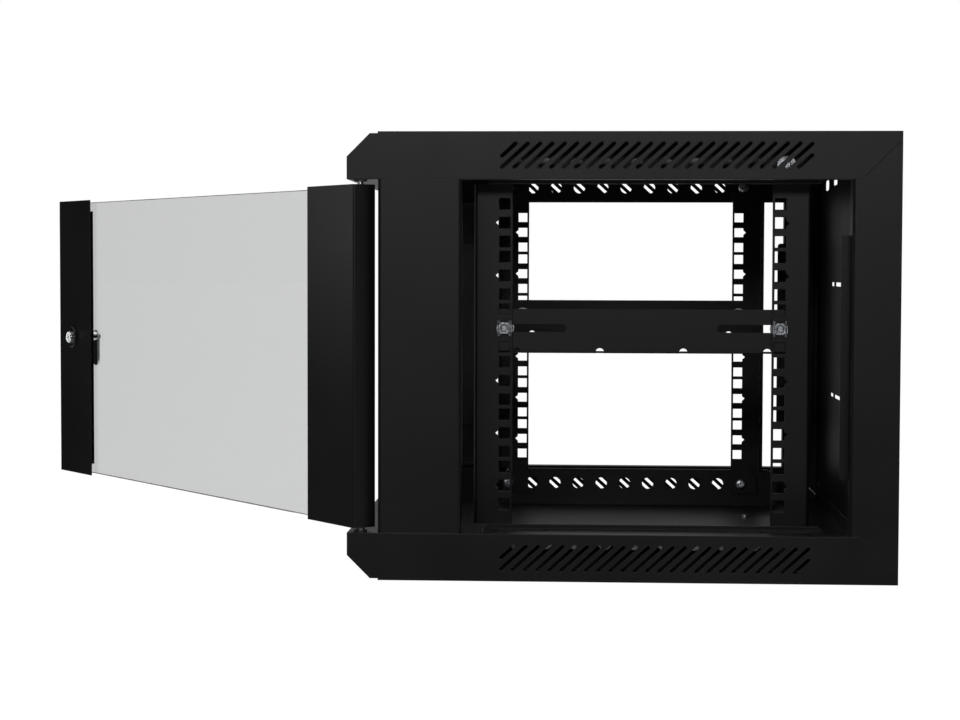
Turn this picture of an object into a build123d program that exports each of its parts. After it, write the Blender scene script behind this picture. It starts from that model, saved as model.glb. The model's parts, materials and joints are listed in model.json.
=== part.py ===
from build123d import *
from math import atan2, cos, degrees, hypot, radians, sin, sqrt
import os

os.makedirs("parts", exist_ok=True)

# A six unit wall cabinet for 19 inch equipment, side panels off, glass door swung open.
# X runs to the right seen from the front, -Y is the front, +Z is up. The origin is the
# middle of the back face, the face that lies on the wall. Lengths are millimetres.

# Overall size and rack standard
width = 600.0
depth = 450.0
rack_units = 6
unit = 44.45
unit_holes = (-15.875, 0.0, 15.875)
panel_hole_span = 465.0
rack_hole = 9.5
end_margin = 11.65

# Sheet thicknesses
sheet = 1.2
rail_sheet = 2.0
bracket_sheet = 1.5
bar_sheet = 1.5
stiffener_sheet = 2.0
bend = 1.6

# Covers
skirt = 39.0
lid_step = 1.5
nose = 19.0
side_hem = 13.0
front_hem = 24.0
seam = 0.1
lap = 8.0

# Columns
post_setback = 25.5
post_side = 68.5
post_face = 26.0
post_lip = 12.0
post_return = 16.0
column_bend = 2.4
foot_sheet = 1.5
cam_window = 60.0
rear_column = 39.5
mitre = 32.0
stiffener_height = 200.0
stiffener_corner = 3.0
front_stiffener_depth = 43.0
rear_stiffener_proud = 7.0
rear_stiffener_gap = 8.0

# Slanted vent slots in the cover sides
vent_pitch = 10.0
vent_width = 3.0
vent_run = 23.0
vent_height = 21.0
vent_start = 32.0
vent_end = 32.0

# Fan grilles and cable entries
fan_pitch = 105.0
fan_screw = 4.5
fan_radius = 56.0
fan_slot = 6.0
fan_slots = 7
fan_x = 110.0
fan_y = 220.0
entry_length = 260.0
entry_width = 46.0
entry_y = 62.0
entry_margin = 12.0
entry_corner = 4.0
entry_screw_inset = 6.0
entry_screw_radius = 1.95
entry_screw_hole = 2.1
entry_screw_head = 3.6
entry_screw_head_height = 1.8

# Wall fixing in the back panel
wall_slot_length = 36.0
wall_slots = ((294.0, 8.0, 22.0), (436.0, 11.0, 23.5))
low_hole_drop = 22.0
low_hole_span = 540.0
low_hole_radius = 4.0
slit_pieces = ((318.0, 26.0), (196.0, 80.0))
slit_width = 4.0
slit_rise = 57.0

# Rails
rail_x = 241.5
rail_depth = 32.4
rail_face_in = 224.5
rail_bend = 2.0
hole_edge = 6.7
front_rail_gap = 7.3
rear_rail_gap = 26.7
rail_end_gap = 1.5
rail_tab = 26.0
rail_tab_start = 12.2
notch_width = 5.0
notch_depth = 2.8

# Depth brackets that carry the rails
bracket_edge = 1.5
bracket_fold = 4.0
bracket_flange = 33.5
bracket_foot = 20.0
bracket_front_gap = 20.0
bracket_rear_gap = 9.0
bracket_cut = 10.0
bracket_hole = 12.0
bracket_pitch = 25.0
bracket_hole_count = 11
rail_screw_rise = 14.0
rail_screw_offset = 11.2
depth_slot_length = 46.0
depth_slot_width = 8.0
depth_slot_insets = (27.0, 37.0)
depth_slot_out = 14.5

# Middle bars between the rails
bar_height = 37.3
bar_drop = 21.1
bar_flange = 13.0
bar_over = 17.0
bar_slot_height = 6.5
bar_slot_length = 61.0
bar_slot_end = 8.0
bar_notch = 3.6
bar_notch_pitch = 70.2
bar_notches = 4
bar_unit = 3

# Door
door_angle = 38.0
door_hinge_gap = 1.7
door_free_gap = 6.3
door_gap = 4.0
hinge_y_inset = 10.5
edge_margin = 6.5
door_front = 10.5
door_back = 11.0
stile = {1: 75.0, -1: 76.5}
stile_lip = 20.0
glass_thickness = 5.0
glass_short = 2.5
glass_bite = 15.0
tape = 1.0
tape_width = 11.0
clamp_foot = 11.0
clamp_grip = 13.5
clamp_short = 9.0
stud_radius = 2.0
stud_nut = 4.0
stud_nut_height = 3.2
stud_end = 1.0
stud_count = 3

# Hinge pins
pin_radius = 2.5
pin_play = 0.08
bush_radius = 4.0
bush_flange = 5.5
bush_flange_height = 1.5
bush_stand = 1.5
pin_reach = 3.5
collar_radius = 4.2
collar_height = 2.5
spring_length = 20.0
spring_wire = 0.6
spring_turns = 5
spring_play = 0.4
guide_sheet = 1.5
handle_length = 24.0
handle_radius = 2.0
handle_travel = 6.0
shoulder_radius = 3.6

# Lock
lock_inset = 34.0
lock_radius = 9.0
lock_flat = 16.0
lock_rim_radius = 11.0
lock_rim = 3.0
lock_nut_radius = 12.0
lock_nut_height = 4.0
lock_depth = 22.5
plug_radius = 6.0
plug_play = 0.08
plug_proud = 2.5
plug_edge = 0.6
key_slot = (6.0, 1.2)
key_slot_depth = 4.0
cam_gap = 1.7
cam_sheet = 1.6
cam_reach = 30.0
cam_width = 14.0
cam_screw_radius = 4.0
cam_screw_height = 2.6
bumper_radius = 5.0
bumper_gap = 0.3
bumper_rise = 110.0

# Fasteners
screw_radius = 2.95
nut_bore = 3.0
head_radius = 5.6
head_height = 3.4
washer_radius = 8.0
washer_height = 1.4
nut_flats = 10.0
nut_height = 5.0
thread_out = 2.0
screw_clearance = 3.3
cage_width = 12.4
cage_height = 13.0
cage_depth = 5.6
cage_wall = 0.8
cage_nut_side = 10.4
post_screw_radius = 2.0
post_screw_hole = 2.2
post_screw_head = 4.0
post_screw_head_height = 2.4
earth_stud_radius = 2.95
earth_stud_height = 16.0
earth_stud_inset = 45.0
earth_stud_back = 30.0

# Places worked out from the sizes above
half_width = width / 2
sill = rack_units * unit / 2 + end_margin
top = sill + skirt
lid_inner = top - sheet
post_front = -depth + post_setback
post_rear = post_front + post_side
rail_end = sill - rail_end_gap
holes_z = [
    (row - (rack_units - 1) / 2) * unit + offset
    for row in range(rack_units)
    for offset in unit_holes
]
marks_z = [(row - (rack_units - 1) / 2) * unit for row in range(rack_units)]
front_rail_y = post_rear + front_rail_gap
rear_rail_y = -rear_column - rear_rail_gap
front_holes_y = front_rail_y + rail_depth - hole_edge
rear_holes_y = rear_rail_y - rail_depth + hole_edge
bracket_front = post_rear + bracket_front_gap
bracket_rear = -rear_column - bracket_rear_gap
bracket_top = sill - bracket_edge
screw_z = sill + rail_screw_rise
screw_row_front = front_rail_y + rail_screw_offset
bar_z = ((rack_units + 1) / 2 - bar_unit) * unit
bar_bottom = bar_z - bar_drop
door_width = width - door_hinge_gap - door_free_gap
hinge_x = half_width - door_hinge_gap - edge_margin
hinge_y = -depth + hinge_y_inset
door_half = sill - door_gap


def save(piece, name):
    piece.label = name
    export_step(piece, f"parts/{name}.step")


def mirrored(piece, plane=Plane.YZ):
    with BuildPart() as twin:
        mirror(piece, about=plane)
    return twin.part


def block(low, high, mode=Mode.ADD):
    """A square-cornered solid in the open part, given by two corners."""
    size = [b - a for a, b in zip(low, high)]
    centre = [(a + b) / 2 for a, b in zip(low, high)]
    with Locations(tuple(centre)):
        Box(*size, mode=mode)


def hex_nut(seat, flats, height, bore):
    with BuildSketch(seat) as outline:
        RegularPolygon(flats / 2, 6, major_radius=False)
        Circle(bore, mode=Mode.SUBTRACT)
    extrude(outline.sketch, amount=height)


# Covers

def cover_outline():
    """Side view of a cover: upright nose, 45 degree corner, raised lid."""
    Polygon(
        (-depth, sill),
        (-depth, top - lid_step - nose),
        (-depth + nose, top - lid_step),
        (post_front, top - lid_step),
        (post_front, top),
        (0, top),
        (0, sill),
        align=None,
    )


def vent_slots(lean):
    """The slanted slots of one side, clipped to an upright band."""
    low = post_rear + vent_start
    high = -rear_column - vent_end
    middle = (low + high) / 2
    base = (sill + top - vent_height) / 2
    length = hypot(vent_run, vent_height)
    count = int((high - low) / vent_pitch) + 1
    for index in range(count):
        foot = low + (index - 1) * vent_pitch
        first = max(0.0, (low - foot) / vent_run)
        last = min(1.0, (high - foot) / vent_run)
        y = foot + vent_run * (first + last) / 2
        z = base + vent_height * (first + last) / 2
        place = (middle + lean * (y - middle), z)
        turn = lean * degrees(atan2(vent_height, vent_run))
        with Locations(place):
            SlotOverall((last - first) * length, vent_width, rotation=turn)


def fan_grille(place):
    """Parallel slots in a round field with four fan screws round it."""
    spacing = 2 * fan_radius / (fan_slots + 1)
    for index in range(fan_slots):
        across = (index - (fan_slots - 1) / 2) * spacing
        with Locations((place[0] + across, place[1])):
            SlotOverall(2 * sqrt(fan_radius**2 - across**2), fan_slot, rotation=90)
    with Locations(place):
        with GridLocations(fan_pitch, fan_pitch, 2, 2):
            Circle(fan_screw / 2)


def entry_screw_places():
    """Screws round the cable entry, four for each plate."""
    x = entry_length / 2 + entry_margin - entry_screw_inset
    y = entry_width / 2 + entry_margin - entry_screw_inset
    return [(side * x, -entry_y + up * y) for side in (1, -1) for up in (1, -1)]


def make_cover(lean, grilles):
    with BuildPart() as cover:
        with BuildSketch(Plane.YZ.offset(-half_width)):
            cover_outline()
        extrude(amount=width)
        with BuildSketch(Plane.YZ.offset(-half_width + sheet)):
            cover_outline()
            offset(amount=-sheet, kind=Kind.INTERSECTION, mode=Mode.REPLACE)
        extrude(amount=width - 2 * sheet, mode=Mode.SUBTRACT)
        block(
            (-half_width + side_hem, -depth + front_hem, sill - sheet),
            (half_width - side_hem, -sheet, sill + 2 * sheet),
            mode=Mode.SUBTRACT,
        )
        with BuildSketch(Plane.YZ.offset(-half_width)):
            Polygon(
                (-mitre - seam, sill),
                (-sheet, sill + mitre + seam - sheet),
                (-sheet, sill + mitre + seam),
                (0, sill + mitre + seam),
                (0, sill),
                align=None,
            )
        extrude(amount=width, mode=Mode.SUBTRACT)
        block(
            (-half_width + side_hem, -2 * sheet, sill + mitre - lap),
            (half_width - side_hem, -sheet, lid_inner),
        )
        for side in (1, -1):
            with BuildSketch(Plane.YZ.offset(side * (half_width - 2 * sheet))):
                vent_slots(lean * side)
            extrude(amount=side * 3 * sheet, mode=Mode.SUBTRACT)
        with BuildSketch(Plane.XY.offset(sill - sheet)):
            with Locations((hinge_x, hinge_y), (-hinge_x, hinge_y)):
                Circle(bush_radius)
            with Locations(*post_screw_places()):
                Circle(post_screw_hole)
        extrude(amount=3 * sheet, mode=Mode.SUBTRACT)
        with BuildSketch(Plane.XY.offset(lid_inner - sheet)):
            with Locations((0, -entry_y)):
                RectangleRounded(entry_length, entry_width, entry_corner)
            with Locations(*entry_screw_places()):
                Circle(entry_screw_hole)
            if grilles:
                fan_grille((fan_x, -fan_y))
                fan_grille((-fan_x, -fan_y))
        extrude(amount=3 * sheet, mode=Mode.SUBTRACT)
    return cover.part


def post_screw_places():
    """Screws that join the feet of the posts to the hems of the covers."""
    x = half_width - (side_hem + sheet) / 2
    inset = post_side / 5
    return [
        (side * x, y)
        for side in (1, -1)
        for y in (post_front + inset, post_rear - inset)
    ]


top_cover = make_cover(1, True)
save(top_cover, "top_cover")

bottom_cover = mirrored(make_cover(-1, False), Plane.XY)
save(bottom_cover, "bottom_cover")

# Cable entry plates lie inside the covers over the entry openings
with BuildPart() as entry_plate:
    with BuildSketch(Plane.XY.offset(lid_inner - sheet)):
        with Locations((0, -entry_y)):
            RectangleRounded(
                entry_length + 2 * entry_margin, entry_width + 2 * entry_margin, entry_corner
            )
        with Locations(*entry_screw_places()):
            Circle(entry_screw_hole, mode=Mode.SUBTRACT)
    extrude(amount=sheet)
save(entry_plate.part, "top_cable_plate")
save(mirrored(entry_plate.part, Plane.XY), "bottom_cable_plate")

# Back panel with the rear columns folded forward from it
with BuildPart() as back_panel:
    with BuildSketch(Plane.XZ):
        Rectangle(width, 2 * (sill + mitre))
    extrude(amount=sheet)
    for side in (1, -1):
        with BuildSketch(Plane.YZ.offset(side * half_width)):
            Polygon(
                (0, -sill - mitre),
                (0, sill + mitre),
                (-mitre, sill),
                (-rear_column, sill),
                (-rear_column, -sill),
                (-mitre, -sill),
                align=None,
            )
        extrude(amount=-side * sheet)
        lip_middle = side * (half_width - post_return / 2)
        with BuildSketch(Plane.XZ.offset(rear_column)):
            with Locations((lip_middle, 0)):
                Rectangle(post_return, 2 * sill)
        extrude(amount=-sheet)
    for x, y, radius in (
        (half_width, -rear_column, column_bend + sheet / 2),
        (half_width - sheet, -rear_column + sheet, column_bend - sheet / 2),
    ):
        folds = [
            edge for edge in back_panel.edges().filter_by(Axis.Z)
            if abs(abs(edge.center().X) - x) < 0.01 and abs(edge.center().Y - y) < 0.01
        ]
        fillet(folds, radius=radius)
    with BuildSketch(Plane.XZ.offset(-sheet)):
        for span, slot_width, drop in wall_slots:
            with Locations((-span / 2, top - drop), (span / 2, top - drop)):
                SlotOverall(wall_slot_length, slot_width)
        low_z = low_hole_drop - top
        with Locations((-low_hole_span / 2, low_z), (low_hole_span / 2, low_z)):
            Circle(low_hole_radius)
        for span, length in slit_pieces:
            with GridLocations(span, 2 * slit_rise, 2, 2):
                SlotOverall(length, slit_width)
    extrude(amount=3 * sheet, mode=Mode.SUBTRACT)
back_panel.part.label = "back_panel"
export_step(back_panel.part, "parts/back_panel.step")

# Front post: side, face and two returns folded from one sheet, with a foot at each end
post_out = half_width - sheet / 2
post_in = half_width - post_face + sheet / 2
with BuildPart() as front_post:
    with BuildSketch(Plane.XY.offset(-sill)):
        with BuildLine():
            FilletPolyline(
                (post_in, post_front + post_lip),
                (post_in, post_front + sheet / 2),
                (post_out, post_front + sheet / 2),
                (post_out, post_rear - sheet / 2),
                (half_width - post_return, post_rear - sheet / 2),
                radius=column_bend,
            )
        trace(line_width=sheet)
    extrude(amount=2 * sill)
    for low in (-sill, sill - foot_sheet):
        block(
            (half_width - post_return, post_front + sheet, low),
            (half_width - sheet, post_rear - sheet, low + foot_sheet),
        )
    with BuildSketch(Plane.XY.offset(-sill)):
        with Locations(*[place for place in post_screw_places() if place[0] > 0]):
            Circle(post_screw_hole)
    extrude(amount=2 * sill, mode=Mode.SUBTRACT)
    block(
        (half_width - post_face - sheet, post_front + sheet + cam_gap / 2, -cam_window / 2),
        (half_width - post_face + 2 * sheet, post_front + 2 * post_lip, cam_window / 2),
        mode=Mode.SUBTRACT,
    )
save(front_post.part, "front_post_right")
save(mirrored(front_post.part), "front_post_left")


# Stiffeners: flat bars welded to the inner ends of the columns' returns

def make_stiffener(low, high):
    outer = half_width - post_return
    with BuildPart() as stiffener:
        block(
            (outer - stiffener_sheet, low, -stiffener_height / 2),
            (outer, high, stiffener_height / 2),
        )
        fillet(stiffener.edges().filter_by(Axis.X), radius=stiffener_corner)
    return stiffener.part


for name, low, high in (
    ("front", post_rear - front_stiffener_depth, post_rear),
    ("rear", -rear_column - rear_stiffener_proud, -rear_stiffener_gap),
):
    bar = make_stiffener(low, high)
    save(bar, f"{name}_stiffener_right")
    save(mirrored(bar), f"{name}_stiffener_left")


# Rails: an angle with square holes in both faces and a V mark at each unit's middle hole

def make_rail(bend_y, holes_y, reach):
    """reach is +1 where the side flange runs back from the bend, -1 where it runs forward."""
    flange_x = rail_x - rail_sheet / 2
    end_y = bend_y + reach * rail_depth
    near = bend_y + reach * rail_tab_start
    tab_y = bend_y + reach * rail_bend * 2
    with BuildPart() as rail:
        with BuildSketch(Plane.XY.offset(-rail_end)):
            with BuildLine():
                FilletPolyline(
                    (rail_face_in, bend_y + reach * rail_sheet / 2),
                    (flange_x, bend_y + reach * rail_sheet / 2),
                    (flange_x, end_y),
                    radius=rail_bend,
                )
            trace(line_width=rail_sheet)
        extrude(amount=2 * rail_end)
        with BuildSketch(Plane.YZ.offset(rail_x - rail_sheet)):
            for up in (1, -1):
                Polygon(
                    (near, up * (rail_end - rail_sheet)),
                    (near, up * rail_end),
                    (tab_y, up * (rail_end + abs(near - tab_y))),
                    (tab_y, up * (rail_end + rail_tab)),
                    (end_y, up * (rail_end + rail_tab)),
                    (end_y, up * (rail_end - rail_sheet)),
                    align=None,
                )
        extrude(amount=rail_sheet)
        with BuildSketch(Plane.YZ.offset(rail_x - 2 * rail_sheet)):
            with Locations(*[(holes_y, z) for z in holes_z]):
                Rectangle(rack_hole, rack_hole)
            for z in marks_z:
                base = holes_y - reach * rack_hole / 2
                Polygon(
                    (base, z - notch_width / 2),
                    (base - reach * notch_depth, z),
                    (base, z + notch_width / 2),
                    align=None,
                )
            with Locations(*[(y, up * screw_z) for y in tab_screw_y(bend_y) for up in (1, -1)]):
                Circle(screw_clearance)
        extrude(amount=3 * rail_sheet, mode=Mode.SUBTRACT)
        with BuildSketch(Plane.XZ.offset(-bend_y - reach * 2 * rail_sheet)):
            with Locations(*[(panel_hole_span / 2, z) for z in holes_z]):
                Rectangle(rack_hole, rack_hole)
        extrude(amount=reach * 4 * rail_sheet, mode=Mode.SUBTRACT)
    return rail.part


def bracket_holes_y():
    return [screw_row_front + index * bracket_pitch for index in range(bracket_hole_count)]


def tab_screw_y(bend_y):
    """The bracket hole that the rail's tab is screwed to."""
    if bend_y < (bracket_front + bracket_rear) / 2:
        return [bracket_holes_y()[0]]
    return [bracket_holes_y()[-1]]


rails = (
    ("front_rail", front_rail_y, front_holes_y, 1),
    ("rear_rail", rear_rail_y, rear_holes_y, -1),
)
for name, bend_y, holes_y, reach in rails:
    angle = make_rail(bend_y, holes_y, reach)
    save(angle, f"{name}_right")
    save(mirrored(angle), f"{name}_left")

# Depth bracket: foot on the cover, web with round holes, folded edge, slotted flange
web_x = rail_x + bracket_sheet / 2
fold_x = web_x + bracket_sheet
bracket_floor = lid_inner - bracket_sheet / 2
flange_z = bracket_top + bracket_fold + bracket_sheet / 2
with BuildPart() as depth_bracket:
    with BuildSketch(Plane.XZ.offset(-bracket_rear)):
        with BuildLine():
            Polyline(
                (web_x + bracket_foot, bracket_floor),
                (web_x, bracket_floor),
                (web_x, bracket_top),
            )
        trace(line_width=bracket_sheet)
        with BuildLine():
            Polyline(
                (fold_x, bracket_top),
                (fold_x, flange_z),
                (rail_x + bracket_flange, flange_z),
            )
        trace(line_width=bracket_sheet)
    extrude(amount=bracket_rear - bracket_front + bracket_cut)
    with BuildSketch(Plane.YZ.offset(rail_x - bracket_sheet)):
        with Locations(*[(y, screw_z) for y in bracket_holes_y()]):
            Circle(bracket_hole / 2)
    extrude(amount=3 * bracket_sheet, mode=Mode.SUBTRACT)
    with BuildSketch(Plane.XY.offset(flange_z - bracket_sheet)):
        with Locations(
            (rail_x + depth_slot_out, bracket_front + depth_slot_insets[0]),
            (rail_x + depth_slot_out, bracket_rear - depth_slot_insets[1]),
        ):
            SlotOverall(depth_slot_length, depth_slot_width, rotation=90)
    extrude(amount=2 * bracket_sheet, mode=Mode.SUBTRACT)
    with BuildSketch(Plane.YZ.offset(rail_x - bracket_sheet)):
        Polygon(
            (bracket_front - bracket_cut, bracket_top),
            (bracket_front - bracket_cut, bracket_top + bracket_cut),
            (bracket_front, bracket_top),
            align=None,
        )
        Polygon(
            (bracket_rear, bracket_top),
            (bracket_rear, bracket_top + bracket_cut),
            (bracket_rear - bracket_cut, bracket_top),
            align=None,
        )
    extrude(amount=bracket_flange + 3 * bracket_sheet, mode=Mode.SUBTRACT)
save(depth_bracket.part, "top_bracket_right")
save(mirrored(depth_bracket.part), "top_bracket_left")
lower_bracket = mirrored(depth_bracket.part, Plane.XY)
save(lower_bracket, "bottom_bracket_right")
save(mirrored(lower_bracket), "bottom_bracket_left")

# Middle bar: an angle tied to the front and rear rails with cage nuts
bar_out = rail_x - rail_sheet
bar_front = front_holes_y - bar_over
bar_back = rear_holes_y + bar_over
bar_middle = (bar_front + bar_back) / 2
with BuildPart() as middle_bar:
    with BuildSketch(Plane.XZ.offset(-bar_back)):
        with BuildLine():
            FilletPolyline(
                (bar_out - bar_flange, bar_bottom + bar_sheet / 2),
                (bar_out - bar_sheet / 2, bar_bottom + bar_sheet / 2),
                (bar_out - bar_sheet / 2, bar_bottom + bar_height),
                radius=bend,
            )
        trace(line_width=bar_sheet)
    extrude(amount=bar_back - bar_front)
    slot_middle = (bar_back - bar_front) / 2 - bar_slot_end - bar_slot_length / 2
    with BuildSketch(Plane.YZ.offset(bar_out - 2 * bar_sheet)):
        with Locations(
            (bar_middle - slot_middle, bar_z),
            (bar_middle + slot_middle, bar_z),
        ):
            SlotOverall(bar_slot_length, bar_slot_height)
    extrude(amount=3 * bar_sheet, mode=Mode.SUBTRACT)
    with BuildSketch(Plane.YZ.offset(bar_out - 3 * bar_sheet)):
        for index in range(bar_notches):
            notch_y = bar_middle + (index - (bar_notches - 1) / 2) * bar_notch_pitch
            with Locations((notch_y, bar_bottom + bar_sheet / 2)):
                Circle(bar_notch)
    extrude(amount=4 * bar_sheet, mode=Mode.SUBTRACT)
save(middle_bar.part, "middle_bar_right")
save(mirrored(middle_bar.part), "middle_bar_left")

# Fasteners, each kind a group of separate solids
sides = (1, -1)
bar_screw_places = [(side, y) for side in sides for y in (front_holes_y, rear_holes_y)]
rail_screw_places = [
    (side, y, up * screw_z)
    for side in sides
    for y in (bracket_holes_y()[0], bracket_holes_y()[-1])
    for up in (1, -1)
]


def side_plane(side, x, y, z):
    """A plane at x that faces outward from the middle of the cabinet."""
    return Plane(origin=(side * x, y, z), x_dir=(0, 1, 0), z_dir=(side, 0, 0))


with BuildPart() as cage_nuts:
    for side, y in bar_screw_places:
        seat = side_plane(side, rail_x, y, bar_z)
        with BuildSketch(seat):
            Rectangle(cage_width, cage_height)
            Circle(screw_clearance, mode=Mode.SUBTRACT)
        extrude(amount=cage_wall)
        with BuildSketch(seat.offset(cage_wall)):
            for away in (1, -1):
                with Locations((away * (cage_width - cage_wall) / 2, 0)):
                    Rectangle(cage_wall, cage_height)
        extrude(amount=cage_depth - cage_wall)
        with BuildSketch(seat):
            for away in (1, -1):
                with Locations((away * (rack_hole - cage_wall) / 2, 0)):
                    Rectangle(cage_wall, rack_hole * 0.7)
        extrude(amount=-rail_sheet)
cage_nuts.part.label = "cage_nuts"
export_step(cage_nuts.part, "parts/cage_nuts.step")

with BuildPart() as cage_nut_cores:
    for side, y in bar_screw_places:
        with BuildSketch(side_plane(side, rail_x + cage_wall, y, bar_z)):
            Rectangle(cage_nut_side, cage_nut_side)
            Circle(nut_bore, mode=Mode.SUBTRACT)
        extrude(amount=cage_depth - 2 * cage_wall)
cage_nut_cores.part.label = "cage_nut_cores"
export_step(cage_nut_cores.part, "parts/cage_nut_cores.step")

with BuildPart() as bar_screws:
    for side, y in bar_screw_places:
        seat = side_plane(side, bar_out - bar_sheet - washer_height, y, bar_z)
        with BuildSketch(seat):
            Circle(head_radius)
        extrude(amount=-head_height)
        with BuildSketch(seat):
            Circle(screw_radius)
        extrude(amount=washer_height + bar_sheet + rail_sheet + cage_depth)
bar_screws.part.label = "bar_screws"
export_step(bar_screws.part, "parts/bar_screws.step")

with BuildPart() as bar_washers:
    for side, y in bar_screw_places:
        with BuildSketch(side_plane(side, bar_out - bar_sheet, y, bar_z)):
            Circle(washer_radius)
            Circle(nut_bore, mode=Mode.SUBTRACT)
        extrude(amount=-washer_height)
bar_washers.part.label = "bar_washers"
export_step(bar_washers.part, "parts/bar_washers.step")

with BuildPart() as rail_screws:
    for side, y, z in rail_screw_places:
        seat = side_plane(side, rail_x - rail_sheet, y, z)
        with BuildSketch(seat):
            Circle(head_radius)
        extrude(amount=-head_height)
        with BuildSketch(seat):
            Circle(screw_radius)
        reach = rail_sheet + bracket_sheet + washer_height + nut_height + thread_out
        extrude(amount=reach)
rail_screws.part.label = "rail_screws"
export_step(rail_screws.part, "parts/rail_screws.step")

with BuildPart() as rail_washers:
    for side, y, z in rail_screw_places:
        with BuildSketch(side_plane(side, rail_x + bracket_sheet, y, z)):
            Circle(washer_radius)
            Circle(nut_bore, mode=Mode.SUBTRACT)
        extrude(amount=washer_height)
rail_washers.part.label = "rail_washers"
export_step(rail_washers.part, "parts/rail_washers.step")

with BuildPart() as rail_nuts:
    for side, y, z in rail_screw_places:
        seat = side_plane(side, rail_x + bracket_sheet + washer_height, y, z)
        hex_nut(seat, nut_flats, nut_height, nut_bore)
rail_nuts.part.label = "rail_nuts"
export_step(rail_nuts.part, "parts/rail_nuts.step")

with BuildPart() as post_screws:
    for x, y in post_screw_places():
        for up in (1, -1):
            seat = Plane(origin=(x, y, up * (sill + sheet)), z_dir=(0, 0, up))
            with BuildSketch(seat):
                Circle(post_screw_head)
            extrude(amount=post_screw_head_height)
            with BuildSketch(seat):
                Circle(post_screw_radius)
            extrude(amount=-sheet - foot_sheet - thread_out)
post_screws.part.label = "post_screws"
export_step(post_screws.part, "parts/post_screws.step")

with BuildPart() as entry_screws:
    for x, y in entry_screw_places():
        for up in (1, -1):
            seat = Plane(origin=(x, y, up * (lid_inner - sheet)), z_dir=(0, 0, up))
            with BuildSketch(seat):
                Circle(entry_screw_head)
            extrude(amount=-entry_screw_head_height)
            with BuildSketch(seat):
                Circle(entry_screw_radius)
            extrude(amount=2 * sheet)
entry_screws.part.label = "entry_screws"
export_step(entry_screws.part, "parts/entry_screws.step")

# Earthing stud with its nut on the floor of the cabinet
stud_place = (-half_width + earth_stud_inset, post_front + earth_stud_back)
with BuildPart() as earth_stud:
    with BuildSketch(Plane.XY.offset(-lid_inner)):
        with Locations(stud_place):
            Circle(earth_stud_radius)
    extrude(amount=earth_stud_height)
earth_stud.part.label = "earth_stud"
export_step(earth_stud.part, "parts/earth_stud.step")

with BuildPart() as earth_nut:
    hex_nut(Plane(origin=(*stud_place, -lid_inner)), nut_flats, nut_height, nut_bore)
earth_nut.part.label = "earth_nut"
export_step(earth_nut.part, "parts/earth_nut.step")

# Nylon bushes in the hems of the covers carry the hinge pins
with BuildPart() as hinge_bushes:
    for up in (1, -1):
        seat = Plane(origin=(hinge_x, hinge_y, up * sill), z_dir=(0, 0, up))
        with BuildSketch(seat):
            Circle(bush_flange)
        extrude(amount=-bush_flange_height)
        with BuildSketch(seat):
            Circle(bush_radius)
        extrude(amount=sheet + bush_stand)
        with BuildSketch(seat.offset(-bush_flange_height)):
            Circle(pin_radius + pin_play)
        extrude(amount=bush_flange_height + sheet + bush_stand, mode=Mode.SUBTRACT)
hinge_bushes.part.label = "hinge_bushes"
export_step(hinge_bushes.part, "parts/hinge_bushes.step")

# Rubber bumpers on the face of the left post
bumper_length = -(hinge_y + door_back) + post_front - bumper_gap
bumper_x = -half_width + post_face / 2
with BuildPart() as door_bumpers:
    with BuildSketch(Plane.XZ.offset(-post_front)):
        with Locations((bumper_x, bumper_rise), (bumper_x, -bumper_rise)):
            Circle(bumper_radius)
    extrude(amount=bumper_length)
    tips = door_bumpers.faces().group_by(Axis.Y)[0].edges()
    chamfer(tips, length=bumper_length / 4)
door_bumpers.part.label = "door_bumpers"
export_step(door_bumpers.part, "parts/door_bumpers.step")

# Door, drawn in its own frame: x along the door from the hinge, y outward, z up
swing = radians(door_angle)
door_plane = Plane(
    origin=(hinge_x, hinge_y, 0), x_dir=(-cos(swing), -sin(swing), 0), z_dir=(0, 0, 1)
)
door_end = door_width - edge_margin
skin_back = door_front - sheet
glass_front = skin_back - tape
glass_back = glass_front - glass_thickness


def facing(along, up, outward):
    """A plane in the door's frame that looks out of the door's face."""
    origin = door_plane.from_local_coords(Vector(along, outward, up))
    return Plane(origin=origin, x_dir=door_plane.x_dir, z_dir=door_plane.y_dir)


def stile_points(edge, inward):
    """Inner lip, edge and face of a stile folded round its outer edge."""
    rim = edge + inward * sheet / 2
    return (
        (edge + inward * stile_lip, -door_back + sheet / 2),
        (rim, -door_back + sheet / 2),
        (rim, door_front - sheet / 2),
        (edge + inward * stile[inward], door_front - sheet / 2),
    )


def stile_ends(edge, inward, low):
    """A closing plate across one end of a stile."""
    near, far = sorted((edge + inward * sheet, edge + inward * stile_lip))
    with BuildSketch(door_plane.offset(low)) as plate:
        with Locations(((near + far) / 2, (door_front - door_back) / 2)):
            Rectangle(far - near, door_front + door_back - 2 * sheet)
    extrude(plate.sketch, amount=sheet)


collar_top = door_half - sheet
collar_low = collar_top - collar_height
guide_top = collar_low - spring_length
with BuildPart() as hinge_stile:
    with BuildSketch(door_plane.offset(-door_half)):
        with BuildLine():
            FilletPolyline(*stile_points(-edge_margin, 1), radius=bend)
        trace(line_width=sheet)
    extrude(amount=2 * door_half)
    stile_ends(-edge_margin, 1, -door_half)
    stile_ends(-edge_margin, 1, door_half - sheet)
    stile_ends(-edge_margin, 1, guide_top - sheet)
    with BuildSketch(door_plane.offset(-door_half)):
        Circle(pin_radius + pin_play)
    extrude(amount=2 * door_half, mode=Mode.SUBTRACT)
hinge_stile.part.label = "hinge_stile"
export_step(hinge_stile.part, "parts/hinge_stile.step")

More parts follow.
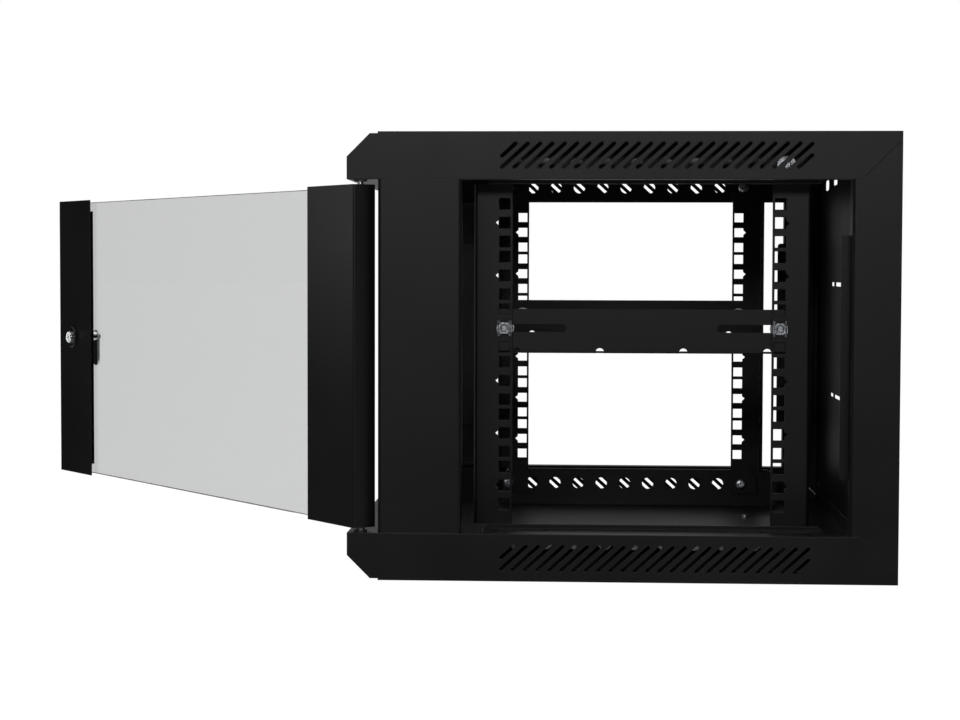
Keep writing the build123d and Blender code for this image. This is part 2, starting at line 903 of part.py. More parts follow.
lock_along = door_end - lock_inset
with BuildPart() as lock_stile:
    with BuildSketch(door_plane.offset(-door_half)):
        with BuildLine():
            FilletPolyline(*stile_points(door_end, -1), radius=bend)
        trace(line_width=sheet)
    extrude(amount=2 * door_half)
    stile_ends(door_end, -1, -door_half)
    stile_ends(door_end, -1, door_half - sheet)
    with BuildSketch(facing(lock_along, 0, skin_back - sheet)):
        Circle(lock_radius)
        Rectangle(2 * lock_radius, lock_flat, mode=Mode.INTERSECT)
    extrude(amount=3 * sheet, mode=Mode.SUBTRACT)
lock_stile.part.label = "lock_stile"
export_step(lock_stile.part, "parts/lock_stile.step")

glass_start = -edge_margin + stile[1] - glass_bite
glass_end = door_end - stile[-1] + glass_bite
glass_half = door_half - glass_short
with BuildPart() as door_glass:
    with BuildSketch(facing((glass_start + glass_end) / 2, 0, glass_back)):
        Rectangle(glass_end - glass_start, 2 * glass_half)
    extrude(amount=glass_thickness)
    chamfer(door_glass.edges(), length=0.6)
door_glass.part.label = "door_glass"
export_step(door_glass.part, "parts/door_glass.step")


def make_tape(edge, inward):
    middle = edge + inward * (stile[inward] - glass_bite / 2)
    with BuildPart() as strip:
        with BuildSketch(facing(middle, 0, glass_front)):
            Rectangle(tape_width, 2 * (glass_half - clamp_short))
        extrude(amount=tape)
    return strip.part


def clamp_studs(edge, inward):
    """Heights and place of the studs that hold one glass clamp."""
    along = edge + inward * (stile[inward] - glass_bite - clamp_foot / 2 - sheet)
    rise = (glass_half - clamp_short) * 0.8
    return [(along, rise * (2 * index / (stud_count - 1) - 1)) for index in range(stud_count)]


def make_clamp(edge, inward):
    """A joggled strip: its foot lies on the stile, its step presses on the glass."""
    step = edge + inward * (stile[inward] - glass_bite - sheet)
    foot = step - inward * clamp_foot
    with BuildPart() as clamp:
        with BuildSketch(door_plane.offset(-glass_half + clamp_short)):
            with BuildLine():
                Polyline(
                    (foot, skin_back - sheet / 2),
                    (step, skin_back - sheet / 2),
                    (step, glass_back - sheet / 2),
                    (step + inward * clamp_grip, glass_back - sheet / 2),
                )
            trace(line_width=sheet)
        extrude(amount=2 * (glass_half - clamp_short))
        for along, z in clamp_studs(edge, inward):
            with BuildSketch(facing(along, z, skin_back - 2 * sheet)):
                Circle(stud_radius)
            extrude(amount=3 * sheet, mode=Mode.SUBTRACT)
    return clamp.part


def make_studs(edge, inward, nuts):
    with BuildPart() as group:
        for along, z in clamp_studs(edge, inward):
            if nuts:
                seat = facing(along, z, skin_back - sheet - stud_nut_height)
                hex_nut(seat, 2 * stud_nut * 0.9, stud_nut_height, stud_radius)
            else:
                with BuildSketch(facing(along, z, skin_back - sheet - stud_nut_height - stud_end)):
                    Circle(stud_radius)
                extrude(amount=sheet + stud_nut_height + stud_end)
    return group.part


for name, edge, inward in (("hinge", -edge_margin, 1), ("lock", door_end, -1)):
    save(make_tape(edge, inward), f"{name}_side_tape")
    save(make_clamp(edge, inward), f"{name}_side_clamp")
    save(make_studs(edge, inward, False), f"{name}_side_studs")
    save(make_studs(edge, inward, True), f"{name}_side_nuts")

# Lower hinge pin: fixed in the stile, its shoulder bears on the lower bush
with BuildPart() as lower_pin:
    with BuildSketch(door_plane.offset(-door_half)):
        Circle(shoulder_radius)
    extrude(amount=-door_gap + bush_flange_height)
    with BuildSketch(door_plane.offset(-sill - pin_reach)):
        Circle(pin_radius)
    extrude(amount=pin_reach + door_gap + 4 * sheet)
    with BuildSketch(door_plane.offset(-door_half + sheet)):
        Circle(collar_radius)
    extrude(amount=collar_height)
lower_pin.part.label = "lower_hinge_pin"
export_step(lower_pin.part, "parts/lower_hinge_pin.step")

# Upper hinge pin: sprung, pulled down by its handle to lift the door off
handle_z = guide_top - 4 * sheet - handle_radius - handle_travel
with BuildPart() as upper_pin:
    with BuildSketch(door_plane.offset(handle_z - handle_radius)):
        Circle(pin_radius)
    extrude(amount=sill + pin_reach - handle_z + handle_radius)
    with BuildSketch(door_plane.offset(collar_low)):
        Circle(collar_radius)
    extrude(amount=collar_height)
    with BuildSketch(Plane(
        origin=door_plane.from_local_coords(Vector(0, 0, handle_z)),
        x_dir=door_plane.y_dir,
        z_dir=door_plane.x_dir,
    )):
        Circle(handle_radius)
    extrude(amount=handle_length)
upper_pin.part.label = "upper_hinge_pin"
export_step(upper_pin.part, "parts/upper_hinge_pin.step")

# Spring between the guide plate and the collar of the upper pin
coil_radius = pin_radius + spring_wire + spring_play
coil_length = spring_length - 2 * spring_wire
coil_base = Plane(
    origin=door_plane.from_local_coords(Vector(0, 0, guide_top + spring_wire)),
    x_dir=door_plane.x_dir,
    z_dir=(0, 0, 1),
)
with BuildPart() as pin_spring:
    with BuildLine(coil_base) as coil:
        Helix(coil_length / spring_turns, coil_length, coil_radius)
    with BuildSketch(coil.line ^ 0):
        RegularPolygon(spring_wire, 6)
    sweep(is_frenet=True)
pin_spring.part.label = "upper_pin_spring"
export_step(pin_spring.part, "parts/upper_pin_spring.step")

# Lock: housing with a round rim, nut, plug, cam and its screw
with BuildPart() as lock_housing:
    with BuildSketch(facing(lock_along, 0, door_front)):
        Circle(lock_rim_radius)
    extrude(amount=lock_rim)
    fillet(lock_housing.edges().group_by(Axis((0, 0, 0), door_plane.y_dir))[-1], radius=lock_rim / 2)
    with BuildSketch(facing(lock_along, 0, door_front - lock_depth)):
        Circle(lock_radius - plug_play)
        Rectangle(2 * lock_radius, lock_flat - 2 * plug_play, mode=Mode.INTERSECT)
    extrude(amount=lock_depth)
    with BuildSketch(facing(lock_along, 0, door_front - lock_depth)):
        Circle(plug_radius + plug_play)
    extrude(amount=lock_depth + lock_rim, mode=Mode.SUBTRACT)
lock_housing.part.label = "lock_housing"
export_step(lock_housing.part, "parts/lock_housing.step")

with BuildPart() as lock_nut:
    with BuildSketch(facing(lock_along, 0, skin_back - lock_nut_height)):
        RegularPolygon(lock_nut_radius, 6)
        Circle(lock_radius, mode=Mode.SUBTRACT)
    extrude(amount=lock_nut_height)
lock_nut.part.label = "lock_nut"
export_step(lock_nut.part, "parts/lock_nut.step")

cam_front = -(post_front + sheet + cam_gap - hinge_y)
with BuildPart() as lock_plug:
    with BuildSketch(facing(lock_along, 0, cam_front)):
        Circle(plug_radius)
    extrude(amount=door_front + lock_rim + plug_proud - cam_front)
    chamfer(lock_plug.edges().group_by(Axis((0, 0, 0), door_plane.y_dir))[-1], length=plug_edge)
    with BuildSketch(facing(lock_along, 0, door_front + lock_rim + plug_proud)):
        Rectangle(*key_slot, rotation=90)
    extrude(amount=-key_slot_depth, mode=Mode.SUBTRACT)
lock_plug.part.label = "lock_plug"
export_step(lock_plug.part, "parts/lock_plug.step")

with BuildPart() as lock_cam:
    with BuildSketch(facing(lock_along, -(cam_reach - cam_width / 2) / 2, cam_front - cam_sheet)):
        SlotOverall(cam_reach + cam_width / 2, cam_width, rotation=90)
    extrude(amount=cam_sheet)
lock_cam.part.label = "lock_cam"
export_step(lock_cam.part, "parts/lock_cam.step")

with BuildPart() as cam_screw:
    with BuildSketch(facing(lock_along, 0, cam_front - cam_sheet)):
        Circle(cam_screw_radius)
    extrude(amount=-cam_screw_height)
cam_screw.part.label = "cam_screw"
export_step(cam_screw.part, "parts/cam_screw.step")
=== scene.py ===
import json
from math import cos, pi, radians, sin

import bmesh
import bpy
from mathutils import Matrix, Vector


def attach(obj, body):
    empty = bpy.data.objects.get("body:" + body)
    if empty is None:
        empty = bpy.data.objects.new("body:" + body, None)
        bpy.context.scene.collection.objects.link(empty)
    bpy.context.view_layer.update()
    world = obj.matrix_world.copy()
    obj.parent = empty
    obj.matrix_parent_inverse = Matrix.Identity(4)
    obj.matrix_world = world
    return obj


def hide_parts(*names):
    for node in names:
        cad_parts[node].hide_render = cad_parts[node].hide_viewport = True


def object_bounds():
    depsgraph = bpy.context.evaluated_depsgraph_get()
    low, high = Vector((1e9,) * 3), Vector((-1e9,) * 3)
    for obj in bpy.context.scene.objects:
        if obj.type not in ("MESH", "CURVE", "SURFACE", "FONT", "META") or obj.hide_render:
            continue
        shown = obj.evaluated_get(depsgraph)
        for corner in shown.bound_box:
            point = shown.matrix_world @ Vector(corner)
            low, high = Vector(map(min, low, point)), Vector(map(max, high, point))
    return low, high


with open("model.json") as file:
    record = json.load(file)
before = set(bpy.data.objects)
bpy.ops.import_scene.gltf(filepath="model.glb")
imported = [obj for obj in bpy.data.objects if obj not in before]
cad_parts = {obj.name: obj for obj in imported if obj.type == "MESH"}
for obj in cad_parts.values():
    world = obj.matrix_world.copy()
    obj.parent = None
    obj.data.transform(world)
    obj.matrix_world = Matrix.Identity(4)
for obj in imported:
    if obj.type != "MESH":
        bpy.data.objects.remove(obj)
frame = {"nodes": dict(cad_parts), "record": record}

cad_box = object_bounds()
nodes = frame["nodes"]

# Camera, fitted to the photograph
EYE = Vector((1.9766, -0.2524, 0.0734))
TARGET = Vector((0.0, -0.3563, -0.0158))
ROLL = radians(0.147)
LENS = 77.144
SENSOR = 36.0
CLIP_END = 50.0

# Strength of the sky that lights the cabinet, by the side it comes from
SKY_LOW = 0.015
SKY_HIGH = 0.9
SKY_BELOW = 0.8
SKY_BEHIND = 0.3

# Power of the soft boxes, in watts
FRONT_BOX = 17.0
TOP_BOX = 22.0
DOOR_BOX = 0.7
LOCK_BOX = 0.01
SIDE_BOX = 2.0

# Floor
FLOOR_SIZE = 60.0
FLOOR_GAP = 0.0005
FLOOR_COLOUR = (0.03, 0.03, 0.03, 1.0)
FLOOR_GLOW = 0.99
WHITE = (1.0, 1.0, 1.0, 1.0)

# Colours of the finishes
COAT = (0.003, 0.0031, 0.0033)
COAT_SPECULAR = 0.25
ZINC = (0.62, 0.63, 0.64)
DULL_ZINC = (ZINC[0] * 0.72, ZINC[1] * 0.74, ZINC[2] * 0.8)
CHROME = (0.8, 0.81, 0.82)
DULL_CHROME = (0.74, 0.75, 0.77)
STEEL = (0.5, 0.5, 0.51)
DULL_STEEL = (0.34, 0.34, 0.35)
GLASS = (0.65, 0.655, 0.655)
RUBBER = (0.012, 0.012, 0.012)
NYLON = (0.02, 0.02, 0.02)
FOAM = (0.014, 0.014, 0.014)

# Sheets and places of the fasteners, in metres, from the CAD
SIDES = (1, -1)
RAIL_OUT = 0.2415
RAIL_SHEET = 0.002
BAR_SHEET = 0.0015
BRACKET_SHEET = 0.0015
WASHER = 0.0014
BAR_ROWS = (-0.323, -0.0919)
BAR_Z = 0.022225
TAB_ROWS = (-0.3375, -0.0875)
TAB_Z = 0.159

# M6 screws and nuts, in metres; head, shank and bore are radii
SCREW_HEAD = 0.0056
SCREW_HEIGHT = 0.0034
SCREW_SHANK = 0.00295
SCREW_PAST_WASHER = 0.007
NUT_BORE = 0.00298
NUT_FLATS = 0.01
NUT_HEIGHT = 0.005
NUT_MOUTH = NUT_BORE * 1.12
PITCH = 0.001
PLAIN_END = 0.0003
PLAIN_NECK = 0.0002

# Form of a thread and of a pan head, as shares of the radius, of the height, or of both
THREAD_ROOT = 0.86
DOME = ((0.95, 0.6), (0.8, 0.82), (0.5, 0.96), (0.1, 1.0))
RECESS_REACH = 0.48
RECESS_HALF = 0.09
RECESS_FLOOR = 0.4
RECESS_PAST_HEAD = 1.3

# Angle of the first fastener of a row about its axis, and the step to the next, in radians
BAR_TURN, BAR_STEP = 0.4, 1.3
TAB_TURN, TAB_STEP = 0.2, 0.9
NUT_TURN, NUT_STEP = 0.3, 0.7

# Cage nuts, in metres; a bend is a row of points: distance in from the wall, height
CAGE_WALL = 0.0008
CAGE_X = 0.0062
CAGE_DEPTH = 0.0056
CAGE_HEIGHT = 0.013
BASE_IN = 0.0006
BASE_HEIGHT = 0.007
CURL_HEIGHT = 0.0034
FOOT_BEND = (
    (0.0012, CAGE_WALL / 2), (0.0005, CAGE_WALL / 2), (0.0, 0.0011), (0.0, CAGE_DEPTH - 0.0006),
)
CURL_BEND = (
    (0.0, CAGE_DEPTH - 0.001), (0.0003, CAGE_DEPTH - 0.0003), (0.0011, CAGE_DEPTH),
    (0.0021, CAGE_DEPTH - 0.0005),
)
CORE_HALF = 0.0047
CORE_CORNER = 0.0055
CORE_EDGE = 0.0005
CORE_TOP = CAGE_DEPTH - 0.0016
COLLAR_TOP = CAGE_DEPTH - 0.0004
COLLAR_FOOT = 0.0045
COLLAR_RIM = 0.0042
COLLAR_MOUTH = 0.0037
MOUTH_DEPTH = 0.0011
CORE_MOUTH = 0.0034


def make_camera():
    data = bpy.data.cameras.new("photo_camera")
    data.lens = LENS
    data.sensor_width = SENSOR
    data.sensor_fit = "HORIZONTAL"
    data.clip_end = CLIP_END
    camera = bpy.data.objects.new("photo_camera", data)
    bpy.context.collection.objects.link(camera)
    look = (TARGET - EYE).to_track_quat("-Z", "Y").to_matrix().to_4x4()
    camera.matrix_world = Matrix.Translation(EYE) @ look @ Matrix.Rotation(ROLL, 4, "Z")
    bpy.context.scene.camera = camera


# Materials

class Shader:
    """A node material with a Principled shader and short calls for its other nodes."""

    def __init__(self, name):
        self.material = bpy.data.materials.new(name)
        self.material.use_nodes = True
        self.tree = self.material.node_tree
        self.surface = self.tree.nodes["Principled BSDF"]
        self.place = self.add("ShaderNodeTexCoord").outputs["Object"]

    def add(self, kind, **values):
        node = self.tree.nodes.new(kind)
        for key, value in values.items():
            setattr(node, key, value)
        return node

    def link(self, source, target):
        self.tree.links.new(source, target)

    def drive(self, name, source):
        """Feeds an input of the Principled shader from another node."""
        self.link(source, self.surface.inputs[name])

    def set(self, **values):
        """Sets inputs of the Principled shader, with _ for a space in their names."""
        for key, value in values.items():
            self.surface.inputs[key.replace("_", " ")].default_value = value

    def noise(self, scale, detail=3.0, rough=0.5):
        node = self.add("ShaderNodeTexNoise")
        node.inputs["Scale"].default_value = scale
        node.inputs["Detail"].default_value = detail
        node.inputs["Roughness"].default_value = rough
        self.link(self.place, node.inputs["Vector"])
        return node.outputs["Fac"]

    def grade(self, source, low, high, first=0.3, last=0.7):
        """A value from low to high as the source runs from first to last."""
        node = self.add("ShaderNodeMapRange")
        node.inputs["From Min"].default_value = first
        node.inputs["From Max"].default_value = last
        node.inputs["To Min"].default_value = low
        node.inputs["To Max"].default_value = high
        self.link(source, node.inputs["Value"])
        return node.outputs["Result"]

    def blend(self, factor, first, second):
        """A colour from first to second as the factor rises."""
        node = self.add("ShaderNodeMix", data_type="RGBA")
        node.inputs["A"].default_value = (*first, 1.0)
        node.inputs["B"].default_value = (*second, 1.0)
        self.link(factor, node.inputs["Factor"])
        return node.outputs["Result"]

    def bump(self, height, strength, distance, normal=None):
        node = self.add("ShaderNodeBump")
        node.inputs["Strength"].default_value = strength
        node.inputs["Distance"].default_value = distance
        self.link(height, node.inputs["Height"])
        if normal is not None:
            self.link(normal, node.inputs["Normal"])
        return node.outputs["Normal"]

    def rounded(self, radius):
        """Shading that rounds the sharp edges of a sheet."""
        node = self.add("ShaderNodeBevel", samples=6)
        node.inputs["Radius"].default_value = radius
        return node.outputs["Normal"]


def coat_material(name, roughness):
    """Satin black coat: fine orange peel, faint cloudiness, softened edges."""
    coat = Shader(name)
    cloud = coat.noise(scale=9.0, detail=4.0)
    lighter = tuple(channel * 1.35 for channel in COAT)
    coat.drive("Base Color", coat.blend(cloud, COAT, lighter))
    coat.drive("Roughness", coat.grade(cloud, roughness - 0.04, roughness + 0.04))
    edge = coat.rounded(radius=0.001)
    peel = coat.bump(coat.noise(scale=900.0, detail=2.0), strength=0.15, distance=0.0002, normal=edge)
    grain = coat.bump(coat.noise(scale=3200.0, detail=1.0), strength=0.2, distance=0.0001, normal=peel)
    coat.drive("Normal", grain)
    coat.set(Specular_IOR_Level=COAT_SPECULAR)
    return coat.material


def zinc_material():
    """Bright zinc plate: blotchy passivation and a fine grain."""
    zinc = Shader("zinc")
    cloud = zinc.noise(scale=240.0, detail=4.0)
    zinc.drive("Base Color", zinc.blend(cloud, DULL_ZINC, ZINC))
    zinc.drive("Roughness", zinc.grade(zinc.noise(scale=900.0), low=0.24, high=0.34))
    edge = zinc.rounded(radius=0.0003)
    zinc.drive("Normal", zinc.bump(zinc.noise(scale=1800.0), strength=0.06, distance=0.0001, normal=edge))
    zinc.set(Metallic=1.0)
    return zinc.material


def chrome_material():
    """Polished chrome with slightly uneven gloss."""
    chrome = Shader("chrome")
    chrome.drive("Base Color", chrome.blend(chrome.noise(scale=60.0), CHROME, DULL_CHROME))
    chrome.drive("Roughness", chrome.grade(chrome.noise(scale=700.0), low=0.05, high=0.12))
    chrome.drive("Normal", chrome.rounded(radius=0.0005))
    chrome.set(Metallic=1.0)
    return chrome.material


def steel_material():
    """Bare spring wire."""
    steel = Shader("spring_steel")
    steel.drive("Base Color", steel.blend(steel.noise(scale=400.0), DULL_STEEL, STEEL))
    steel.drive("Roughness", steel.grade(steel.noise(scale=1200.0), low=0.25, high=0.4))
    steel.set(Metallic=1.0)
    return steel.material


def glass_material():
    """Clear float glass with a faint haze of handling marks."""
    glass = Shader("door_glass")
    glass.drive("Roughness", glass.grade(glass.noise(scale=14.0, detail=5.0), low=0.0, high=0.02))
    glass.set(Base_Color=(*GLASS, 1.0), Transmission_Weight=1.0, IOR=1.5)
    return glass.material


def soft_material(name, colour, roughness, scale):
    """Rubber, foam or nylon: dull, with a fine grain."""
    soft = Shader(name)
    lighter = tuple(channel * 1.5 for channel in colour)
    soft.drive("Base Color", soft.blend(soft.noise(scale), colour, lighter))
    soft.drive("Roughness", soft.grade(soft.noise(scale * 3), roughness - 0.08, roughness + 0.08))
    soft.drive("Normal", soft.bump(soft.noise(scale * 5), strength=0.3, distance=0.0002))
    return soft.material


def dress_nodes():
    """Gives every CAD node the finish of its slot in the record."""
    finishes = {
        "powder_coat": coat_material("powder_coat", roughness=0.38),
        "black_zinc": coat_material("black_zinc", roughness=0.3),
        "zinc": zinc_material(),
        "chrome": chrome_material(),
        "spring_steel": steel_material(),
        "glass": glass_material(),
        "rubber": soft_material("rubber", RUBBER, roughness=0.7, scale=300.0),
        "nylon": soft_material("nylon", NYLON, roughness=0.5, scale=200.0),
        "tape": soft_material("foam_tape", FOAM, roughness=0.85, scale=900.0),
    }
    for part in frame["record"]["subparts"]:
        mesh = nodes[part["node"]].data
        mesh.materials.clear()
        mesh.materials.append(finishes[part["material_slot"]])
    return finishes


# Fasteners: turned and folded pieces that stand for the plain CAD ones

def turned(rings, steps=36, closed=False):
    """A solid of rings round the Z axis. A ring is (radius, height), with a radius that may be
    a function of the angle. A closed profile has a bore, an open one has capped ends."""
    solid = bmesh.new()
    loops = []
    for radius, height in rings:
        loop = []
        for index in range(steps):
            angle = 2 * pi * index / steps
            reach = radius(angle) if callable(radius) else radius
            loop.append(solid.verts.new((reach * cos(angle), reach * sin(angle), height)))
        loops.append(loop)
    pairs = list(zip(loops, loops[1:]))
    if closed:
        pairs.append((loops[-1], loops[0]))
    else:
        solid.faces.new(list(reversed(loops[0])))
        solid.faces.new(loops[-1])
    for low, high in pairs:
        for index in range(steps):
            after = (index + 1) % steps
            solid.faces.new((low[index], low[after], high[after], high[index]))
    bmesh.ops.recalc_face_normals(solid, faces=solid.faces)
    return solid


def prism(corners, low, high):
    """A solid between two heights, on an outline of (x, y) corners."""
    solid = bmesh.new()
    under = [solid.verts.new((x, y, low)) for x, y in corners]
    over = [solid.verts.new((x, y, high)) for x, y in corners]
    solid.faces.new(list(reversed(under)))
    solid.faces.new(over)
    for index in range(len(corners)):
        after = (index + 1) % len(corners)
        solid.faces.new((under[index], under[after], over[after], over[index]))
    return solid


def folded(outline, height, thickness):
    """A strip bent along an outline of (x, z) points and drawn out along y, centred."""
    solid = bmesh.new()
    count = len(outline)
    rows = []
    for index in range(count):
        before = Vector(outline[max(index - 1, 0)])
        after = Vector(outline[min(index + 1, count - 1)])
        along = (after - before).normalized()
        side = Vector((-along.y, along.x)) * thickness / 2
        here = Vector(outline[index])
        row = []
        for point in (here - side, here + side):
            for y in (-height / 2, height / 2):
                row.append(solid.verts.new((point.x, y, point.y)))
        rows.append(row)
    for first, second in zip(rows, rows[1:]):
        for a, b in ((0, 1), (1, 3), (3, 2), (2, 0)):
            solid.faces.new((first[a], first[b], second[b], second[a]))
    for row in (rows[0], rows[-1]):
        solid.faces.new((row[0], row[1], row[3], row[2]))
    bmesh.ops.recalc_face_normals(solid, faces=solid.faces)
    return solid


def to_mesh(solid, name):
    mesh = bpy.data.meshes.new(name)
    solid.to_mesh(mesh)
    solid.free()
    return mesh


def carve(body, cutter):
    """The mesh of body less cutter."""
    held = bpy.data.objects.new("held", body)
    tool = bpy.data.objects.new("tool", cutter)
    for item in (held, tool):
        bpy.context.collection.objects.link(item)
    cut = held.modifiers.new("cut", "BOOLEAN")
    cut.object = tool
    cut.solver = "EXACT"
    bpy.context.view_layer.update()
    shaped = held.evaluated_get(bpy.context.evaluated_depsgraph_get())
    mesh = bpy.data.meshes.new_from_object(shaped)
    for item in (held, tool):
        bpy.data.objects.remove(item)
    return mesh


def thread(radius, start, end):
    """Rings of a V thread between two heights."""
    count = int(abs(end - start) / PITCH)
    step = (end - start) / count
    rings = []
    for index in range(count):
        rings.append((radius, start + step * index))
        rings.append((radius * THREAD_ROOT, start + step * (index + 0.5)))
    rings.append((radius, end))
    return rings


def screw_mesh(length):
    """A pan head screw with a cross recess: head above the seat, threaded shank below it."""
    head, height, shank = SCREW_HEAD, SCREW_HEIGHT, SCREW_SHANK
    rings = [(shank * 0.7, -length), (shank * 0.95, -length + 0.25 * shank)]
    rings += thread(shank, -length + 0.4 * shank, -PLAIN_NECK)
    rings += [(shank, 0.0), (head * 0.97, 0.0), (head, 0.06 * height), (head, 0.35 * height)]
    rings += [(head * share, height * rise) for share, rise in DOME]
    body = to_mesh(turned(rings), "screw")
    reach, half = head * RECESS_REACH, head * RECESS_HALF
    arm = [(reach, -half), (reach, half), (half, half)]
    corners = []
    for quarter in range(4):
        corners += arm
        arm = [(-y, x) for x, y in arm]
    cross = prism(corners, height * RECESS_FLOOR, height * RECESS_PAST_HEAD)
    return carve(body, to_mesh(cross, "cross"))


def nut_mesh():
    """A hexagon nut with turned corners and a threaded bore."""
    half = NUT_FLATS / 2
    slope = 0.1 * NUT_HEIGHT

    def hexagon(angle):
        return half / cos((angle + pi / 6) % (pi / 3) - pi / 6)

    def corner(angle):
        return min(hexagon(angle), half * 1.04)

    rings = [(corner, 0.0), (hexagon, slope), (hexagon, NUT_HEIGHT - slope), (corner, NUT_HEIGHT)]
    rings += [(NUT_MOUTH, NUT_HEIGHT)]
    rings += thread(NUT_BORE, NUT_HEIGHT - PLAIN_END, PLAIN_END) + [(NUT_MOUTH, 0.0)]
    return to_mesh(turned(rings, 72, closed=True), "nut")


def cage_meshes():
    """Cage of a base, two walls and four curled tabs, and the square nut with a collar inside it."""
    out = CAGE_X - CAGE_WALL / 2
    base = folded([(-out + BASE_IN, CAGE_WALL / 2), (out - BASE_IN, CAGE_WALL / 2)], BASE_HEIGHT, CAGE_WALL)
    meshes = [to_mesh(base, "base")]
    for away in SIDES:
        foot = [(away * (out - inward), z) for inward, z in FOOT_BEND]
        meshes.append(to_mesh(folded(foot, CAGE_HEIGHT, CAGE_WALL), "wall"))
        curl = [(away * (out - inward), z) for inward, z in CURL_BEND]
        for up in SIDES:
            tab = folded(curl, CURL_HEIGHT, CAGE_WALL)
            centre = up * (CAGE_HEIGHT - CURL_HEIGHT) / 2
            bmesh.ops.translate(tab, vec=(0.0, centre, 0.0), verts=tab.verts)
            meshes.append(to_mesh(tab, "tab"))

    def square(angle):
        return CORE_HALF / max(abs(cos(angle)), abs(sin(angle)))

    def cut_square(angle):
        return min(square(angle), CORE_CORNER)

    low, high = CAGE_WALL, CORE_TOP
    rings = [(cut_square, low), (square, low + CORE_EDGE), (square, high - CORE_EDGE), (cut_square, high)]
    rings += [(COLLAR_FOOT, high), (COLLAR_RIM, COLLAR_TOP), (COLLAR_MOUTH, COLLAR_TOP)]
    rings += thread(NUT_BORE, COLLAR_TOP - MOUTH_DEPTH, low + PLAIN_END) + [(CORE_MOUTH, low)]
    meshes.append(to_mesh(turned(rings, 72, closed=True), "core"))
    return meshes


def towards(axis, place, turn):
    """Moves a piece so that its Z axis points along axis, turned about it."""
    aim = Vector(axis).to_track_quat("Z", "Y").to_matrix().to_4x4()
    return Matrix.Translation(place) @ aim @ Matrix.Rotation(turn, 4, "Z")


def gather(name, parts, finish, slot, *stands_for):
    """Joins placed copies of small meshes into one piece on the cabinet."""
    whole = bmesh.new()
    for mesh, place in parts:
        start = len(whole.verts)
        whole.from_mesh(mesh)
        whole.verts.ensure_lookup_table()
        bmesh.ops.transform(whole, matrix=place, verts=whole.verts[start:])
    piece = bpy.data.objects.new(name, to_mesh(whole, name))
    bpy.context.collection.objects.link(piece)
    piece.data.materials.append(finish)
    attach(piece, "cabinet")
    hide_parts(*stands_for)


def make_fasteners(finishes):
    """The screws and nuts of bars and rails; each screw and each rail nut turned about its axis by an angle
    of its own.
    """
    bar_places = [(side, y) for side in SIDES for y in BAR_ROWS]
    tab_places = [(side, y, up * TAB_Z) for side in SIDES for y in TAB_ROWS for up in SIDES]

    bar_seat = RAIL_OUT - RAIL_SHEET - BAR_SHEET - WASHER
    bar_screw = screw_mesh(WASHER + BAR_SHEET + RAIL_SHEET + CAGE_DEPTH)
    gather("bar_screw_set", [
        (bar_screw, towards((-side, 0, 0), (side * bar_seat, y, BAR_Z), BAR_TURN + BAR_STEP * index))
        for index, (side, y) in enumerate(bar_places)
    ], finishes["zinc"], "zinc", "bar_screws")

    tab_seat = RAIL_OUT - RAIL_SHEET
    tab_screw = screw_mesh(RAIL_SHEET + BRACKET_SHEET + WASHER + SCREW_PAST_WASHER)
    gather("rail_screw_set", [
        (tab_screw, towards((-side, 0, 0), (side * tab_seat, y, z), TAB_TURN + TAB_STEP * index))
        for index, (side, y, z) in enumerate(tab_places)
    ], finishes["zinc"], "zinc", "rail_screws")

    nut_seat = RAIL_OUT + BRACKET_SHEET + WASHER
    nut = nut_mesh()
    gather("rail_nut_set", [
        (nut, towards((side, 0, 0), (side * nut_seat, y, z), NUT_TURN + NUT_STEP * index))
        for index, (side, y, z) in enumerate(tab_places)
    ], finishes["zinc"], "zinc", "rail_nuts")

    cage = cage_meshes()
    gather("cage_nut_set", [
        (mesh, towards((side, 0, 0), (side * RAIL_OUT, y, BAR_Z), 0.0))
        for side, y in bar_places
        for mesh in cage
    ], finishes["zinc"], "zinc", "cage_nuts", "cage_nut_cores")


# Stage and light

def make_floor():
    """A wide pale floor just under the cabinet."""
    low = cad_box[0][2]
    bpy.ops.mesh.primitive_plane_add(size=FLOOR_SIZE, location=(0.0, 0.0, low - FLOOR_GAP))
    floor = bpy.context.object
    floor.name = "floor"
    shade = Shader("pale_floor")
    shade.set(Base_Color=FLOOR_COLOUR, Roughness=0.9, Specular_IOR_Level=0.0)
    shade.set(Emission_Color=WHITE, Emission_Strength=FLOOR_GLOW)
    floor.data.materials.append(shade.material)
    floor.visible_glossy = False


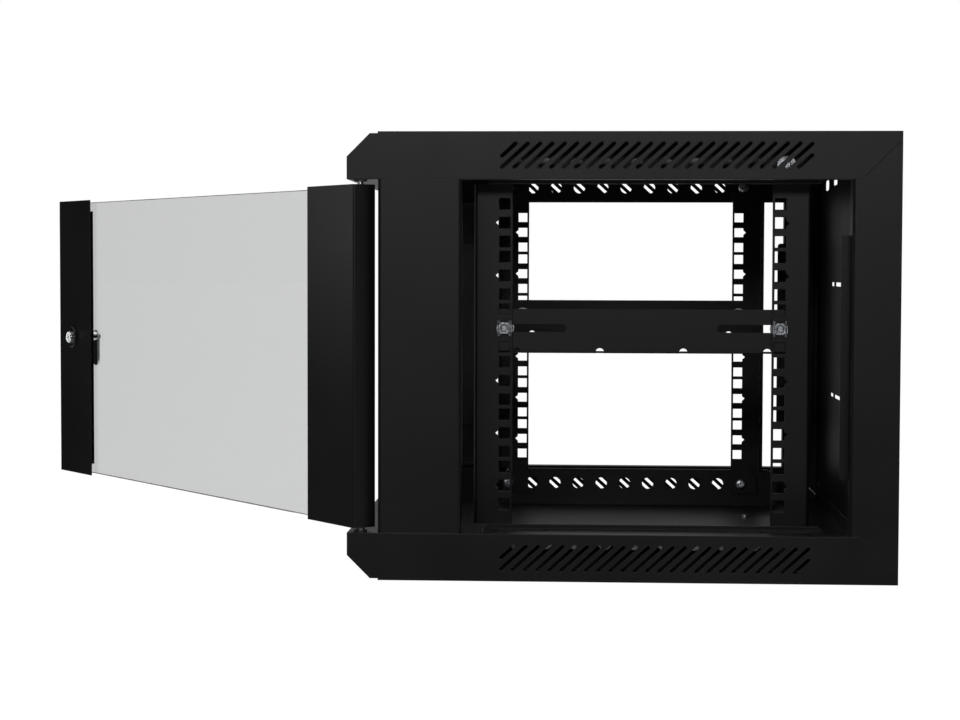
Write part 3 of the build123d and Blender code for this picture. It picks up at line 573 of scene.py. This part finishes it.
def make_sky():
    """A sky that looks white to the camera and through glass, and lights the cabinet by ramps:
    dark at the level of the cabinet, brighter overhead, below and behind it."""
    world = bpy.data.worlds.new("studio")
    world.use_nodes = True
    tree = world.node_tree
    link = tree.links.new
    backdrop = tree.nodes["Background"]
    backdrop.inputs["Color"].default_value = WHITE

    def combine(operation, first, second):
        node = tree.nodes.new("ShaderNodeMath")
        node.operation = operation
        link(first, node.inputs[0])
        link(second, node.inputs[1])
        return node.outputs["Value"]

    def ramp(value, start, end, low, high):
        node = tree.nodes.new("ShaderNodeMapRange")
        node.interpolation_type = "SMOOTHSTEP"
        node.inputs["From Min"].default_value = start
        node.inputs["From Max"].default_value = end
        node.inputs["To Min"].default_value = low
        node.inputs["To Max"].default_value = high
        link(value, node.inputs["Value"])
        return node.outputs["Result"]

    place = tree.nodes.new("ShaderNodeTexCoord")
    split = tree.nodes.new("ShaderNodeSeparateXYZ")
    link(place.outputs["Generated"], split.inputs["Vector"])
    to_right, to_back, upward = (split.outputs[axis] for axis in "XYZ")
    overhead = ramp(upward, start=0.3, end=0.95, low=SKY_LOW, high=SKY_HIGH)
    below = ramp(upward, start=-0.15, end=-0.6, low=0.0, high=SKY_BELOW)
    back_left = combine("SUBTRACT", to_back, to_right)
    behind = ramp(back_left, start=-0.1, end=0.9, low=0.0, high=SKY_BEHIND)
    glow = combine("ADD", combine("ADD", overhead, below), behind)

    rays = tree.nodes.new("ShaderNodeLightPath")
    seen = combine("MAXIMUM", rays.outputs["Is Camera Ray"], rays.outputs["Is Transmission Ray"])
    sky = tree.nodes.new("ShaderNodeMix")
    sky.inputs["B"].default_value = 1.0
    link(seen, sky.inputs["Factor"])
    link(glow, sky.inputs["A"])
    link(sky.outputs["Result"], backdrop.inputs["Strength"])
    bpy.context.scene.world = world


def add_area(name, place, target, size, power):
    """A soft box that lights and shows in gloss, and isn't seen itself."""
    data = bpy.data.lights.new(name, "AREA")
    data.shape = "RECTANGLE"
    data.size, data.size_y = size
    data.energy = power
    light = bpy.data.objects.new(name, data)
    bpy.context.collection.objects.link(light)
    light.location = place
    light.visible_camera = False
    light.visible_transmission = False
    light.rotation_euler = (Vector(target) - Vector(place)).to_track_quat("-Z", "Y").to_euler()


def make_lights():
    """Soft boxes: one for the open side, one for the door by its hinge, a small one that shows
    in the lock's plug, one for the back and left, and one overhead."""
    add_area(
        "front_box", place=(3.1, -0.45, 0.65), target=(0.3, -0.25, 0.05), size=(2.4, 0.25), power=FRONT_BOX,
    )
    add_area(
        "door_box", place=(0.1, -1.45, 0.2), target=(0.27, -0.47, 0.0), size=(0.2, 0.3), power=DOOR_BOX,
    )
    add_area(
        "lock_box", place=(-1.096, -2.539, -0.067), target=(-0.139, -0.784, 0.0), size=(0.03, 0.03),
        power=LOCK_BOX,
    )
    add_area(
        "side_box", place=(-2.4, 0.9, 0.9), target=(0.0, -0.25, 0.0), size=(1.6, 0.8), power=SIDE_BOX,
    )
    add_area(
        "top_box", place=(0.3, -0.3, 2.2), target=(0.1, -0.25, 0.0), size=(1.8, 1.8), power=TOP_BOX,
    )


make_camera()
make_fasteners(dress_nodes())
make_floor()
make_sky()
make_lights()
bpy.context.scene.view_settings.view_transform = "Standard"
